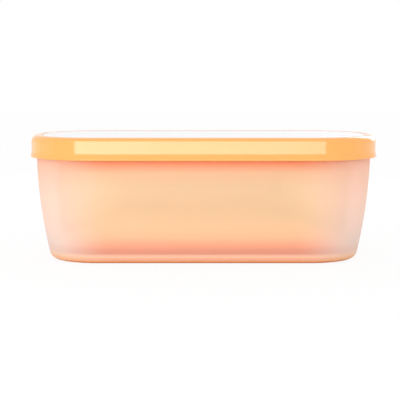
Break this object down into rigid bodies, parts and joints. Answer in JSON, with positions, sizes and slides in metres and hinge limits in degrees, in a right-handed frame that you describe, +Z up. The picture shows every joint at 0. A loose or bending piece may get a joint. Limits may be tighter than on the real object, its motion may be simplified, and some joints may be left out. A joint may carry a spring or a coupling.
{
  "type": "insulated ice cream tub",
  "caption": "Long low ice cream tub with a double wall: a frosted outer shell round a coloured inner tub, shut by a press-on lid with a moulded rim and a pale top panel.",
  "frame": {"origin": "middle of the flat underside of the foot, where the tub stands", "axes": "+Z up, +X along the tub's length, -Y towards its front long side"},
  "size_m": [0.2484, 0.116, 0.0884],
  "materials": {
    "frosted_shell": "translucent frosted plastic, satin outside",
    "foot_rubber": "soft matt non-slip rubber",
    "tub_plastic": "smooth moulded plastic",
    "lid_plastic": "satin gloss moulded plastic",
    "panel_plastic": "smooth satin plastic"
  },
  "bodies": {
    "root": {"outer_shell": "frosted_shell", "base_foot": "foot_rubber", "inner_tub": "tub_plastic", "lid_rim": "lid_plastic", "lid_panel": "panel_plastic"}
  },
  "joints": []
}
